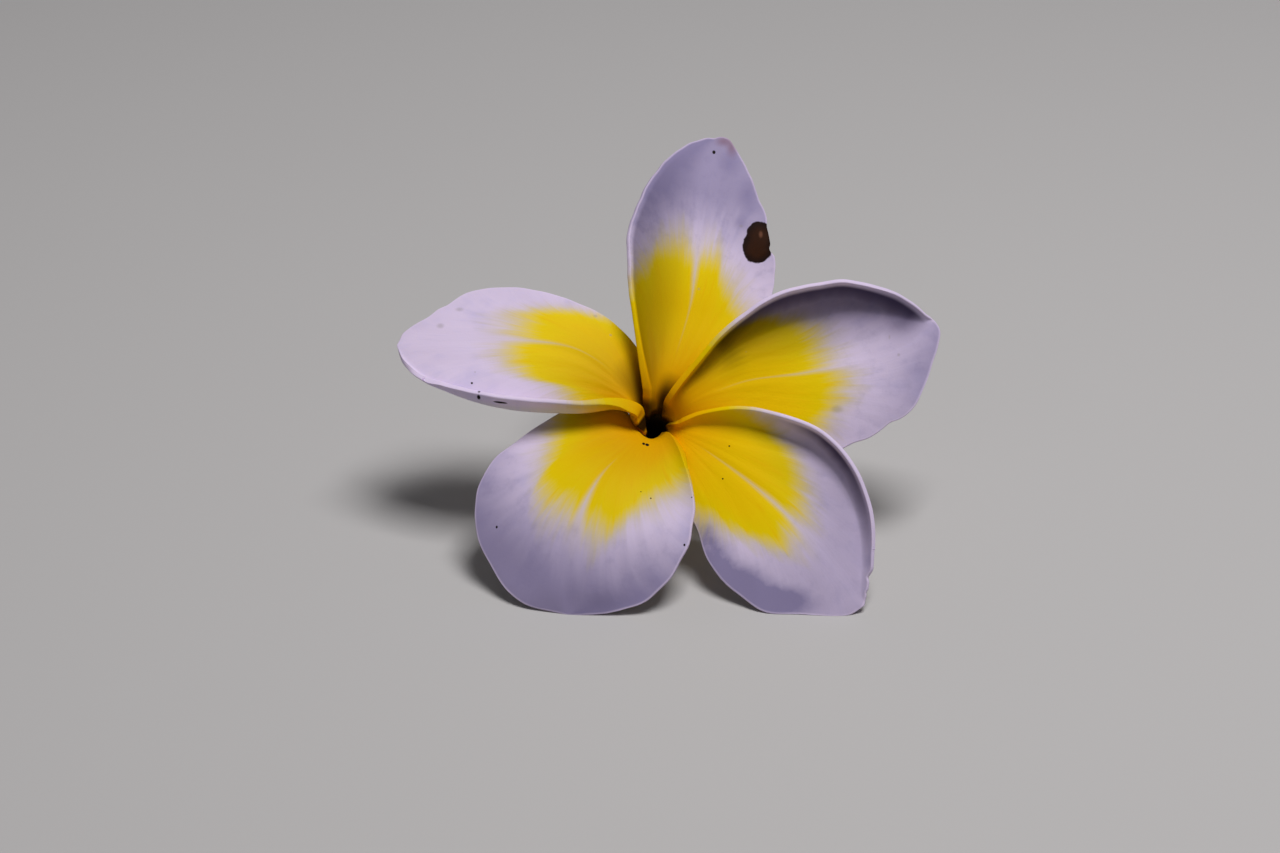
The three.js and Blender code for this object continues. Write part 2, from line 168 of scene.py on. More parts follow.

# What a petal is made from, in flower mm. "Across" is a share from its raised lip to its tuck.
#   lip_turn, next_turn: degrees round the throat where it and the next petal start
#   lip, rib, tuck, tip: points of the raised lip, midrib and tucked margin, and their shared end
#   rise, lean, width: along the petal, the lip wall's height, how far it leans in and its width
#   bend: how late the wall turns up; tongue: mm that its root is thicker
#   rim: share of the rim's thickness and bead
#   dents: (place round the outline, -1 to 1 from its tuck to its lip, width, mm deep, steepness)
#   zone: the yellow's edge, as (across, mm from the throat)
#   wedge: white streak up the midrib, as (across, mm where it starts, mm it widens per mm)
#   mouth: mm where the painted shade in the throat's mouth starts and is full
#   hollow: mm where the shade by the lip starts, is full, fades and is gone, its share, then the
#     reach in mm of the wall's own shade and its share; left out where there is no shade
#   valley: painted shade beside the throat, as across where it starts and is full, mm where it is
#     full and gone, and its share, then the share of a wider painted dimming
#   dusk: the far end's shade, as mm where it starts and is full, and its share, then a band along
#     one side, as across where it starts and is full, its share, and mm where it wanes and ends
#   marks: (across, mm from the throat, half width, half height, tone), where an across below 0
#     is the mm out over the lip's edge and "brown" ones run together
PETALS = {
    "petal_top": {
        "lip_turn": -36, "next_turn": 40,
        "lip": [(-1.4, 3.6, 2.3), (-3.4, 13.5, 6.2), (-4.2, 20, 7.6), (-3.9, 26.5, 8), (0.5, 36, 7),
                (4.6, 40, 5.9), (7.6, 41.3, 5.2)],
        "rib": [(1.6, 5, 1.6), (4.9, 15.5, 3.6), (6, 23.5, 4.8), (7.4, 33, 5.2)],
        "tuck": [(5.2, 3.6, 0.2), (9.6, 7, 1.0), (14.2, 12.5, 1.8), (17, 20.3, 2.4), (16.1, 29.1, 3.2),
                 (12.6, 37.9, 4.5), (10.4, 41.1, 4.9)],
        "tip": (9, 41.6, 5), "bend": 2, "tongue": 0.45, "rim": 0.35,
        "rise": [0, 2, 1.6, 0.8, 0.3, 0.05], "lean": [0, 0.4, 0.3, 0.15, 0.05, 0],
        "width": [1.2, 2.2, 3, 3.4, 3.4, 3],
        "dents": [(-0.362, 0.048, 0.45, 6), (-0.4, 0.013, 0.35, 6), (0.012, 0.012, 0.3, 2),
                  (-0.035, 0.02, -0.3, 2), (-0.24, 0.02, 0.2, 2)],
        "zone": [(0, 18.4), (0.02, 19), (0.1, 21.4), (0.18, 22.6), (0.22, 24.3), (0.28, 24.8), (0.36, 25),
                 (0.45, 24), (0.55, 24.5), (0.64, 24.5), (0.68, 22.3), (0.78, 20.4), (0.83, 19.7),
                 (1, 17)],
        "wedge": (0.5, 18.3, 0.09), "mouth": (3.6, 2.2), "dusk": (23, 35, 0.82, 0.4, 0, 0.28, 60, 70),
        "valley": (0.22, 0.55, 3.2, 8.5, 0.95, 0.1), "hollow": (0, 6, 24, 44, 0.63, 2.5, 0.35),
        "marks": [(0.92, 30.7, 1.9, 2.3, "brown"), (0.89, 28.7, 2.05, 2.0, "brown"),
                  (0.93, 31.0, 0.28, 0.5, "scar"), (0.49, 40.3, 0.24, 0.3, "dark"),
                  (0.87, 42.3, 0.9, 0.6, "blush"), (0.95, 41.6, 0.6, 1.1, "blush"),
                  (0.8, 39.2, 1.2, 1.4, "bruise"), (0.9, 35.4, 1.0, 1.6, "bruise"),
                  (0.8, 31.2, 0.8, 0.8, "bruise"), (0.539, 19.7, 0.16, 0.16, "dusky"),
                  (0.8, 30.8, 0.25, 0.2, "dusky")],
    },
    "petal_right": {
        "lip_turn": 40, "next_turn": 96,
        "lip": [(1.8, 2.7, 2.5), (5.3, 6.8, 5), (9.9, 11.5, 7.5), (16, 15.4, 9), (22.3, 17.2, 9.5),
                (27.4, 17.8, 9.3), (33.2, 16.5, 8), (37.1, 14.6, 6.5)],
        "rib": [(4.6, 2.2, 1.6), (12, 5.2, 3.2), (20.4, 6.2, 4), (29, 8, 4.4), (35.5, 10.3, 5)],
        "tuck": [(5.6, -2.2, 0), (12.5, -4.2, 0.8), (19.5, -6.4, 1.2), (26.4, -5, 1.8), (32.1, -2.1, 2.4),
                 (35.9, 0.4, 3), (38.3, 5.2, 4), (39.7, 9.4, 4.8), (40.1, 11.5, 5.1)],
        "tip": (39.2, 13.2, 5.4), "bend": 1.5, "tongue": 0.2, "rim": 0.65,
        "rise": [0, 2.2, 4.2, 4.8, 3.4, 0.4], "lean": [0, 0.15, 0.25, 0.3, 0.2, 0.05],
        "width": [1.2, 2.4, 3.6, 3.8, 2.6, 1],
        "dents": [(-0.35, 0.02, 0.3, 2), (-0.47, 0.03, 0.25, 2)],
        "zone": [(0, 15.5), (0.03, 16.6), (0.07, 19.2), (0.1, 21.6), (0.2, 24.4), (0.33, 25.1),
                 (0.43, 24.7), (0.5, 24.6), (0.56, 25.6), (0.61, 26.3), (0.7, 25.5), (0.76, 25.3),
                 (0.8, 23.9), (1, 22)],
        "wedge": (0.53, 20.6, 0.07), "mouth": (3.4, 1.7), "dusk": (28, 41, 0.5, 0.6, 1, 0.25, 60, 70),
        "valley": (0.85, 1, 5, 9, 0.5, 0.06), "hollow": (0, 9, 38, 56, 0.78, 8.4, 1),
        "marks": [(0.79, 25.6, 0.75, 0.45, "dusky"), (0.3, 16, 0.12, 0.12, "dusky"),
                  (0.62, 35.4, 0.2, 0.2, "dusky"), (0.396, 34.9, 0.12, 0.3, "dusky")],
    },
    "petal_lower_right": {
        "lip_turn": 96, "next_turn": 142,
        "lip": [(3.9, -0.5, 2.5), (7, 0, 4.5), (12.2, -0.3, 7), (17.6, -1.8, 8.3), (22.9, -4.5, 8.7),
                (27, -8.6, 8.5), (29.8, -15, 7.3), (30.4, -21.3, 5.5), (29.8, -26.4, 4)],
        "rib": [(3.8, -3, 1.6), (9.4, -7.5, 3.6), (16, -13.4, 4.6), (22, -20, 4.8)],
        "tuck": [(1.6, -4.6, 0), (2.6, -10.6, 1.2), (5.7, -16.6, 1.8), (7.3, -21.6, 2.2),
                 (10.9, -26, 2.6), (14.8, -28.9, 2.8), (20.5, -29.3, 3), (26.3, -29.4, 3)],
        "tip": (28.6, -28.2, 3.3), "bend": 1.5, "tongue": 0.15, "rim": 0.5,
        "rise": [0, 2.6, 3.6, 3.4, 2, 0.3], "lean": [0, 0.35, 0.5, 0.45, 0.3, 0.05],
        "width": [1.2, 2.2, 2.4, 2.4, 2, 1.5],
        "dents": [(0.085, 0.012, 0.75, 2), (0.062, 0.009, 0.5, 2), (0.04, 0.01, 0.7, 2),
                  (0.018, 0.008, 0.45, 2)],
        "zone": [(0, 14.6), (0.07, 16), (0.15, 18.6), (0.22, 20.8), (0.28, 22.6), (0.32, 23.4),
                 (0.4, 24.8), (0.49, 25.6), (0.55, 25.9), (0.65, 26.8), (0.69, 24.9), (0.72, 23.6),
                 (0.74, 21.6), (0.78, 20.6), (0.8, 18.4), (0.86, 17), (1, 15)],
        "wedge": (0.5, 16.5, 0.05), "mouth": (3.4, 1.7), "dusk": (20, 34, 0.45, 0.76, 0.94, 1, 31, 38),
        "valley": (0.85, 1, 4, 7, 0.4, 0), "hollow": (12, 26, 27, 38, 0.36, 4.2, 1),
        "marks": [(0.35, 12.2, 0.12, 0.12, "dark"), (0.607, 14.1, 0.12, 0.12, "dark")],
    },
    "petal_lower_left": {
        "lip_turn": 142, "next_turn": 228,
        "lip": [(2.3, -2.4, 1.5), (3.6, -4.8, 3), (4.9, -9, 4.6), (5.8, -13.9, 5.8), (5.6, -17.2, 6.2),
                (4.5, -21.3, 6.2), (2, -25.3, 5.4), (-1.8, -28.2, 4.2), (-6.4, -29.3, 3.3)],
        "rib": [(-1.6, -3.2, 1.2), (-4.5, -6.5, 3.8), (-7.8, -11, 5.4), (-10.5, -17.5, 6),
                (-11.8, -24.5, 4.8)],
        "tuck": [(-3.9, 1.4, -0.5), (-8.6, 2.9, 0.7), (-13.6, 0.5, 1.4), (-19, -3.5, 1.9),
                 (-22.5, -6.6, 2), (-24.8, -11.1, 2), (-24.6, -17.4, 1.8), (-22, -23, 1.8),
                 (-18.2, -27.4, 2.2)],
        "tip": (-12, -29.5, 2.8), "bend": 2, "tongue": 1.2, "rim": 0.4,
        "rise": [0, 0.8, 0.6, 0.3, 0.1, 0], "lean": [0, 0.2, 0.15, 0.05, 0, 0],
        "width": [1.2, 2.4, 2.6, 2.4, 2, 2],
        "dents": [(-0.42, 0.03, 0.2, 2)],
        "zone": [(0, 12.4), (0.05, 12.2), (0.13, 12.8), (0.21, 14.2), (0.28, 16.3), (0.32, 18.5),
                 (0.37, 20.5), (0.44, 19.9), (0.48, 20.4), (0.52, 20.8), (0.57, 19.3), (0.65, 20.2),
                 (0.74, 19.5), (0.76, 17.2), (0.86, 14.8), (1, 13.2)],
        "wedge": (0.51, 13.6, 0.11), "mouth": (3, 1.7), "dusk": (17, 30, 0.9, 0.3, 0, 0.15, 60, 70),
        "valley": (0.85, 1, 6, 10, 0.6, 0.22),
        "marks": [(0.435, 5.0, 0.22, 0.3, "dark"), (0.39, 5.05, 0.27, 0.32, "dark"),
                  (0.017, 21.7, 0.17, 0.22, "dark"), (0.229, 14.8, 0.11, 0.12, "dark"),
                  (0.285, 14, 0.1, 0.1, "dark"), (0.012, 15.4, 0.11, 0.12, "dark"),
                  (0.9, 27.7, 0.14, 0.2, "dark")],
    },
    "petal_left": {
        "lip_turn": 228, "next_turn": 324,
        "lip": [(-1.0, -0.1, 1.2), (-1.5, 0.6, 2.7), (-4.9, 1, 4.4), (-10.4, 0, 6.2), (-18.7, 0.2, 7),
                (-25.1, 1.4, 6.6), (-28.8, 2.4, 6), (-33.2, 4.9, 4.8), (-35.6, 7.6, 4.3)],
        "rib": [(-3.4, 3, 1.6), (-10.5, 8.4, 3.4), (-18.6, 9.8, 4.2), (-27.5, 10, 4.4)],
        "tuck": [(-0.6, 4.6, 0), (-2, 9.8, 0.8), (-6.4, 14.5, 1.8), (-12, 17.2, 2.6), (-18.6, 18.8, 3),
                 (-25.4, 18.5, 3.4), (-30.4, 15.4, 3.8), (-34.3, 12.7, 4), (-35.7, 11.2, 4.1)],
        "tip": (-36.5, 9.6, 4.2), "bend": 2, "tongue": 1.35, "rim": 1.2,
        "rise": [0, 3.4, 2.9, 1.8, 0.7, 0.05], "lean": [0, 1.3, 1.7, 1.7, 0.85, 0.05],
        "width": [1.4, 1.9, 1.6, 1.2, 1.0, 0.8],
        "dents": [(-0.12, 0.04, 0.3, 2), (-0.02, 0.015, 0.3, 2), (-0.2, 0.02, 0.2, 2)],
        "zone": [(0, 11.3), (0.16, 12), (0.22, 14.3), (0.24, 17), (0.27, 19.2), (0.34, 21), (0.44, 22.2),
                 (0.52, 22.3), (0.6, 22.6), (0.68, 22.8), (0.76, 23.4), (0.81, 22), (0.86, 20.2),
                 (0.92, 17.8), (1, 15.8)],
        "wedge": (0.53, 17.6, 0.09), "mouth": (2.3, 1.3), "dusk": (30, 50, 0, 0.6, 1, 0.1, 60, 70),
        "valley": (0.2, 0.8, 4, 13, 0.85, 0.2),
        "marks": [(0.145, 26.3, 0.15, 0.17, "dark"), (0.24, 26.2, 0.12, 0.13, "dusky"),
                  (-0.6, 25.4, 0.35, 0.62, "dark"), (-1.1, 22.6, 1.3, 0.2, "dark"),
                  (0.75, 33, 0.45, 0.36, "dusky"), (0.87, 31.8, 0.5, 0.3, "dusky"),
                  (0.94, 17.2, 0.3, 0.2, "dusky"), (0.87, 13.7, 0.18, 0.18, "dusky")],
    },
}

# The tube's outside and inside as (radius, n) in mm, from its broken end out to the mouth and back.
TUBE_PROFILE = [
    (2.0, -20.4), (2.0, -17), (2.0, -13.7), (2.02, -10.5), (2.1, -7), (2.28, -5.7), (2.6, -4.6),
    (3.15, -3.4), (3.62, -2.45), (3.86, -1.8), (3.78, -1.3), (3.56, -1.25), (3.36, -1.6), (3.1, -2.5),
    (2.6, -3.3), (1.8, -3.9), (1.36, -4.8), (1.22, -6.5), (1.2, -13), (1.2, -20.4),
]
TUBE_SIDES = 64
TUBE_MID_WALL = 1.6
TUBE_RIBS = 5
TUBE_TWIST = 0.12  # radians a mm
FINE_RIBS = 0.4  # height of the ribs between, as a share
RIBS_FADE = (-2, -5)
RAGGED_HEIGHT = 0.22
RAGGED_FADE = (-19.4, -20.4)
RAGGED_SEED = 5
BORE_PAINT = 1.65  # mm from the axis that the painted shade of the bore reaches, below the flare
MOUTH_CLOUD = 3
TORN_CLOUD = 1.4
TUBE_SMOOTH = math.radians(50)

ANTHER_COUNT = 5
ANTHER_LENGTH = 2.6
ANTHER_RADIUS = 0.32
ANTHER_TAPER = 0.25
ANTHER_FLUTE = 0.1
ANTHER_RING_RADIUS = 0.42
ANTHER_LEAN = 0.1
ANTHER_N = -14

FLOOR_SIZE = 6
FLOOR_GAP = 0.00002
FLOOR_MOTTLE = 0.12
FLOOR_SHADE = 0.9
SOFTBOXES = (
    # name, place, light and share of its power, size, tint
    ("overhead_softbox", (0.14, -0.06, 0.63), "key", 1, 0.26, (1.0, 0.985, 1.0)),
    ("front_softbox", (-0.35, -0.75, 0.38), "fill", 1, 0.6, (0.97, 0.97, 1.0)),
    ("back_softbox", (-0.35, 0.6, 0.45), "fill", 0.8, 0.5, (1.0, 0.98, 0.96)),
)
SKY_TINT = (0.93, 0.94, 1.0, 1)

# The camera looks down at the throat from straight in front.
CAMERA_ELEVATION = math.radians(30)
CAMERA_DISTANCE = 0.425
CAMERA_CLIP = (0.01, 20)
SENSOR_WIDTH = 36
FRAME_WIDTH = 1280
FRAME_HEIGHT = 853
THROAT_PIXEL = (655, 420)


# ---- curves and surfaces

def blended(points, place, centripetal):
    """Points at the shares `place` of a smooth curve through `points`."""
    held = np.asarray(points, float)
    spans = len(held) - 1
    at = spans * np.asarray(place, float)
    index = np.clip(np.floor(at).astype(int), 0, spans - 1)
    w = (at - index)[:, None]
    ends = np.vstack([2 * held[0] - held[1], held, 2 * held[-1] - held[-2]])
    p0, p1, p2, p3 = ends[index], ends[index + 1], ends[index + 2], ends[index + 3]
    if centripetal:
        d0, d1, d2 = (
            (np.maximum(np.sum(step ** 2, 1), 1e-16) ** 0.25)[:, None]
            for step in (p1 - p0, p2 - p1, p3 - p2)
        )
        t1 = ((p1 - p0) / d0 - (p2 - p0) / (d0 + d1) + (p2 - p1) / d1) * d1
        t2 = ((p2 - p1) / d1 - (p3 - p1) / (d1 + d2) + (p3 - p2) / d2) * d1
    else:
        t1, t2 = 0.5 * (p2 - p0), 0.5 * (p3 - p1)
    cubic = 2 * p1 - 2 * p2 + t1 + t2
    square = -3 * p1 + 3 * p2 - 2 * t1 - t2
    return p1 + t1 * w + square * w ** 2 + cubic * w ** 3


def rail(points, share):
    """Points at even shares of a rail's length."""
    steps = np.linspace(0, 1, RAIL_STEPS)
    line = blended(points, steps, True)
    length = np.concatenate([[0], np.cumsum(np.linalg.norm(np.diff(line, axis=0), axis=1))])
    return blended(points, np.interp(share * length[-1], length, steps), True)


def along(values, share):
    """A number that changes smoothly along a petal."""
    return blended(np.stack([np.arange(len(values)), values], -1), share, False)[:, 1]


def mouth_points(form, turn):
    """Points of the spiral that the petals start on."""
    share = (turn - form["lip_turn"]) / (form["next_turn"] - form["lip_turn"])
    radius = MOUTH_RADIUS + MOUTH_STEP * share
    angle = np.radians(turn)
    return np.stack([radius * np.sin(angle), radius * np.cos(angle), np.full_like(radius, MOUTH_N)], -1)


def petal_surface(form, s, t):
    """Front points of a petal, for shares s from throat to tip and t from lip to tucked margin."""
    shape = s.shape
    s, t = s.ravel(), t.ravel()
    tuck_turn = form["next_turn"] + TUCK_ANGLE
    starts = mouth_points(form, np.array([form["lip_turn"], (form["lip_turn"] + tuck_turn) / 2, tuck_turn]))
    lip_line, rib_line, tuck_line = (
        rail([start, *form[key], form["tip"]], s)
        for start, key in zip(starts, ("lip", "rib", "tuck"))
    )
    rise = np.maximum(along(form["rise"], s), 0)
    inward = (rib_line - lip_line) * [1, 1, 0]
    half = np.linalg.norm(inward, axis=1)
    inward = inward / np.maximum(half, TINY)[:, None]
    lip_line = lip_line + inward * (BLADE_MM * np.minimum(rise, 1))[:, None]
    width = np.minimum(along(form["width"], s), half * WIDEST_LIP)
    lean = np.maximum(along(form["lean"], s), 0)
    foot = lip_line - inward * lean[:, None]
    foot[:, 2] -= rise
    lip_share = width / np.maximum(2 * (half + lean), TINY)
    wall = np.maximum(1 - t / np.maximum(lip_share, TINY), 0) ** form["bend"]
    t = t[:, None]
    weights = (1 - t) * (1 - 2 * t), 4 * t * (1 - t), t * (2 * t - 1)
    points = foot * weights[0] + rib_line * weights[1] + tuck_line * weights[2]
    points += inward * (lean * wall)[:, None]
    points[:, 2] += rise * wall
    settle = np.maximum(1 - s / SETTLE_SHARE, 0) ** 2
    wound = mouth_points(form, form["lip_turn"] + (tuck_turn - form["lip_turn"]) * t[:, 0])
    flat = starts[0] * weights[0] + starts[1] * weights[1] + starts[2] * weights[2]
    points += (wound - flat) * settle[:, None]
    return points.reshape(*shape, 3)


def from_chart(x, y):
    """Shares s and t from the fan chart: x runs round the outline, y inwards from it."""
    return 1 - np.hypot(x, y), np.arctan2(np.maximum(y, 0), x) / math.pi


def bump_at(distance, width):
    """A soft bump, 1 at distance 0."""
    return np.exp(-(distance / width) ** 2)


def ramp(value, start, end):
    """0 before start, 1 after end, even between."""
    return np.clip((value - start) / (end - start), 0, 1)


def uneven(count, crowding):
    """Numbers from 0 to 1 that stand closer at both ends, as crowding says."""
    fine = np.linspace(0, 1, CROWDING_STEPS)
    middle = (fine[1:] + fine[:-1]) / 2
    (first, first_reach), (last, last_reach) = crowding
    density = 1 + first * bump_at(middle, first_reach) + last * bump_at(1 - middle, last_reach)
    total = np.concatenate([[0], np.cumsum(density)])
    return np.interp(np.linspace(0, total[-1], count), total, fine)


def petal_chart(columns, rows):
    """The chart places of a petal's grid, rows by columns. The last row runs round the tip."""
    across = uneven(columns, ACROSS_CROWDING)[None, :] * math.pi
    up = uneven(rows, UP_CROWDING)[:, None]
    return (1 - (1 - END_REACH) * up) * np.cos(across), (1 - up) * np.sin(across)


def ripple(seed, *places):
    """A smooth seeded noise of any number of places, about -1 to 1."""
    rng = np.random.default_rng(seed)
    total = 0
    for _ in range(RIPPLE_WAVES):
        direction = rng.normal(size=len(places))
        slope = sum(d * p for d, p in zip(direction, places))
        total = total + np.sin(slope * 2 + rng.uniform(0, 2 * math.pi))
    return total / (RIPPLE_WAVES / 2)


def to_part(points):
    """Flower millimetres to the part's own metres."""
    sin, cos = math.sin(AXIS_ELEVATION), math.cos(AXIS_ELEVATION)
    x, y, n = points[..., 0], points[..., 1], points[..., 2]
    placed = np.stack([THROAT[0] + x, THROAT[1] + y * sin - n * cos, THROAT[2] + y * cos + n * sin], -1)
    return placed * MM


def axis_matrix():
    """Places a mesh in millimetres, built up the Z axis, on the bloom's axis."""
    sin, cos = math.sin(AXIS_ELEVATION), math.cos(AXIS_ELEVATION)
    turn = Matrix(((1, 0, 0, THROAT[0]), (0, sin, -cos, THROAT[1]), (0, cos, sin, THROAT[2]), (0, 0, 0, 1)))
    return Matrix.Scale(MM, 4) @ turn


# ---- making meshes

def start_clear():
    """Leaves edit mode and selects nothing."""
    if bpy.context.object and bpy.context.object.mode != "OBJECT":
        bpy.ops.object.mode_set(mode="OBJECT")
    bpy.ops.object.select_all(action="DESELECT")


def edit(step):
    """Runs an edit-mode step on all of the active piece."""
    bpy.ops.object.mode_set(mode="EDIT")
    bpy.ops.mesh.select_all(action="SELECT")
    step()
    bpy.ops.object.mode_set(mode="OBJECT")


def apply_modifier(piece, kind, **settings):
    """Adds a modifier and applies it."""
    modifier = piece.modifiers.new(kind.title(), kind)
    for key, value in settings.items():
        setattr(modifier, key, value)
    bpy.ops.object.modifier_apply(modifier=modifier.name)


def corners(mesh):
    """The mesh's points as an array."""
    places = np.empty(len(mesh.vertices) * 3)
    mesh.vertices.foreach_get("co", places)
    return places.reshape(-1, 3)


def move_corners(mesh, places):
    mesh.vertices.foreach_set("co", np.ascontiguousarray(places, float).ravel())
    mesh.update()


def add_map(mesh, name, across, up):
    """Gives the mesh a UV map from two numbers for each of its points."""
    held = mesh.uv_layers.new(name=name)
    point = np.empty(len(mesh.loops), int)
    mesh.loops.foreach_get("vertex_index", point)
    held.data.foreach_set("uv", np.stack([across[point], up[point]], -1).ravel())


def finish_piece(piece, name, node, finish):
    """Names the piece, gives it its finish and hands it to the frame."""
    piece.name = name
    piece.data.name = name
    piece.data.materials.clear()
    piece.data.materials.append(finish)
    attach(piece, "root")
    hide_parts(node)


# ---- shader nodes

class Wire:
    """One number, colour or vector in a finish. Sums written with it add Math nodes."""

    def __init__(self, finish, socket):
        self.finish = finish
        self.socket = socket

    def __add__(self, other):
        return self.finish.maths("ADD", self, other)

    def __radd__(self, other):
        return self.finish.maths("ADD", other, self)

    def __sub__(self, other):
        return self.finish.maths("SUBTRACT", self, other)

    def __rsub__(self, other):
        return self.finish.maths("SUBTRACT", other, self)

    def __mul__(self, other):
        return self.finish.maths("MULTIPLY", self, other)

    def __rmul__(self, other):
        return self.finish.maths("MULTIPLY", other, self)

    def __abs__(self):
        return self.finish.maths("ABSOLUTE", self)


class Finish:
    """A node material under construction."""

    def __init__(self, name):
        self.material = bpy.data.materials.new(name)
        self.material.use_nodes = True
        self.tree = self.material.node_tree
        self.tree.nodes.clear()
        self.lines = ()
        self.shader = self.tree.nodes.new("ShaderNodeBsdfPrincipled")
        out = self.tree.nodes.new("ShaderNodeOutputMaterial")
        self.tree.links.new(self.shader.outputs[0], out.inputs["Surface"])

    def feed(self, socket, value):
        """Links a wire to a socket or sets its value."""
        if isinstance(value, Wire):
            self.tree.links.new(value.socket, socket)
        elif socket.type == "RGBA":
            socket.default_value = (*value, 1)
        else:
            socket.default_value = value

    def node(self, kind, settings=None, inputs=None, output=0):
        """Adds a node: its settings first, then its sockets by name or number."""
        made = self.tree.nodes.new(kind)
        for key, value in (settings or {}).items():
            if key == "points":
                self.bend(made.mapping, value)
            else:
                setattr(made, key, value)
        for key, value in (inputs or {}).items():
            self.feed(made.inputs[key], value)
        return Wire(self, made.outputs[output])

    @staticmethod
    def bend(mapping, points):
        """Gives a Float Curve its points."""
        curve = mapping.curves[0]
        while len(curve.points) < len(points):
            curve.points.new(0.5, 0.5)
        for held, place in zip(curve.points, points):
            held.location = place
        mapping.update()

    def maths(self, operation, *values):
        return self.node("ShaderNodeMath", {"operation": operation}, dict(enumerate(values)))

    def vectors(self, operation, *values, output=0):
        return self.node("ShaderNodeVectorMath", {"operation": operation}, dict(enumerate(values)), output)

    def smooth(self, value, low, high, share=1):
        """0 below low, the share above high, smooth between."""
        return self.node("ShaderNodeMapRange", {"interpolation_type": "SMOOTHSTEP"},
                         {"Value": value, "From Min": low, "From Max": high, "To Max": share})

    def blend(self, value, name):
        """One of the BLENDS of a value, its edge shifted by the finish's streaks and hairs."""
        low, high, share, *shifts = BLENDS[name]
        for line, shift in zip(self.lines, shifts):
            if shift:
                value = value + line * shift
        return self.smooth(value, low, high, share)

    def noise(self, place, scale, detail=2.0, roughness=0.5):
        return self.node("ShaderNodeTexNoise", None, {
            "Vector": place, "Scale": scale, "Detail": detail, "Roughness": roughness})

    def mix(self, share, first, second, blend="MIX"):
        """Mixes two colours."""
        return self.node("ShaderNodeMix", {"data_type": "RGBA", "blend_type": blend, "clamp_factor": True},
                         {0: share, 6: first, 7: second}, output=2)

    def coats(self, colour, *coats):
        """A colour with others over it, each as (value, name of its blend, tint)."""
        for value, name, tint in coats:
            colour = self.mix(self.blend(value, name), colour, tint)
        return colour

    def map_parts(self, name):
        """The two numbers of one of the piece's own UV maps."""
        place = self.node("ShaderNodeUVMap", {"uv_map": name})
        parts = self.node("ShaderNodeSeparateXYZ", None, {0: place}).socket.node
        return Wire(self, parts.outputs[0]), Wire(self, parts.outputs[1])

    def object_place(self):
        """The place on the object, in millimetres."""
        place = self.node("ShaderNodeTexCoord", None, None, output=3)
        return self.node("ShaderNodeVectorMath", {"operation": "SCALE"}, {0: place, "Scale": 1 / MM})

    def bump(self, height, distance, strength):
        held = {"Height": height, "Distance": distance, "Strength": strength}
        return self.node("ShaderNodeBump", None, held)

    def surface(self, **sockets):
        """Sets or links the shader's own sockets."""
        for key, value in sockets.items():
            self.feed(self.shader.inputs[key.replace("_", " ").title().replace("Ior", "IOR")], value)
        return self.material


# ---- settings

def hue(name, description, default):
    """A colour to choose."""
    return bpy.props.FloatVectorProperty(
        name=name, description=description, subtype="COLOR", size=3, min=0, max=1, default=default)


def span(name, description, default):
    """A length to choose."""
    return bpy.props.FloatProperty(
        name=name, description=description, unit="LENGTH", subtype="DISTANCE", min=0, precision=5,
        default=default)


class PetalSettings(bpy.types.PropertyGroup):
    """Sizes and colours of the five petals."""

    blade: span("Blade", "Thickness of a petal's middle", 0.00066)
    rim: span("Rim", "Thickness of the raised lip's rounded rim", 0.0008)
    margin: span("Margin", "Thickness of the free margins", 0.0004)
    wave: span("Wave", "How far the free margins wave", 0.00022)
    groove: span("Groove", "Depth of the midrib's groove", 0.00008)
    columns: bpy.props.IntProperty(
        name="Columns", description="Grid lines across a petal", min=20, default=72)
    rows: bpy.props.IntProperty(
        name="Rows", description="Grid lines from throat to tip", min=20, default=118)
    white: hue("White", "The outer part of a petal", (0.77, 0.655, 0.85))
    lilac: hue("Lilac", "Cool shading of the white", (0.56, 0.50, 0.77))
    dusk: hue("Dusk", "Shading of a petal's far end", (0.29, 0.25, 0.42))
    hollow: hue("Hollow", "How much the hollow under a raised lip darkens", (0.12, 0.105, 0.16))
    cream: hue("Cream", "Where the yellow fades out", (0.66, 0.56, 0.25))
    lemon: hue("Lemon", "The outer part of the yellow", (0.88, 0.65, 0.0))
    yellow: hue("Yellow", "The main yellow", (0.92, 0.60, 0.0))
    orange: hue("Orange", "The throat's deep yellow", (0.90, 0.455, 0.0))
    # Painted shade in the throat's mouth, beside it and round it.
    deep: hue("Deep", "The dark mouth of the throat", (0.035, 0.017, 0.002))
    back: hue("Back", "The back of a petal", (0.68, 0.64, 0.66))
    green: hue("Green", "The base of a petal's back", (0.62, 0.50, 0.06))
    amber: hue("Amber", "The middle of a dried patch", (0.030, 0.007, 0.0))
    brown: hue("Brown", "A dried patch", (0.011, 0.002, 0.0))
    # A painted glint: a small lighter spot in the dried patch.
    scar: hue("Scar", "A lighter fleck in the dried patch", (0.22, 0.09, 0.05))
    dark: hue("Dark", "A speck of dirt", (0.012, 0.007, 0.006))
    dusky: hue("Dusky", "A small grey spot", (0.32, 0.28, 0.26))
    bruise: hue("Bruise", "A wide soft bruise", (0.17, 0.145, 0.31))
    blush: hue("Blush", "The dried end of a petal", (0.24, 0.12, 0.16))


class TubeSettings(bpy.types.PropertyGroup):
    """Finish of the tube behind the petals."""

    ribbing: span("Ribbing", "Height of the tube's long soft ribs", 0.00006)
    pale: hue("Pale", "The tube's mouth", (0.70, 0.66, 0.42))
    green: hue("Green", "The tube's length", (0.46, 0.50, 0.22))
    # Painted shade on the inside of the tube, near black.
    painted_bore_shade: hue("Lining", "The inside of the tube", (0.014, 0.007, 0.002))
    torn: hue("Torn", "The broken end", (0.24, 0.13, 0.05))


class AntherSettings(bpy.types.PropertyGroup):
    """Finish of the anthers."""

    pollen: hue("Pollen", "The anthers' faces", (0.80, 0.62, 0.20))
    seam: hue("Seam", "The anthers' grooves and tips", (0.34, 0.17, 0.05))


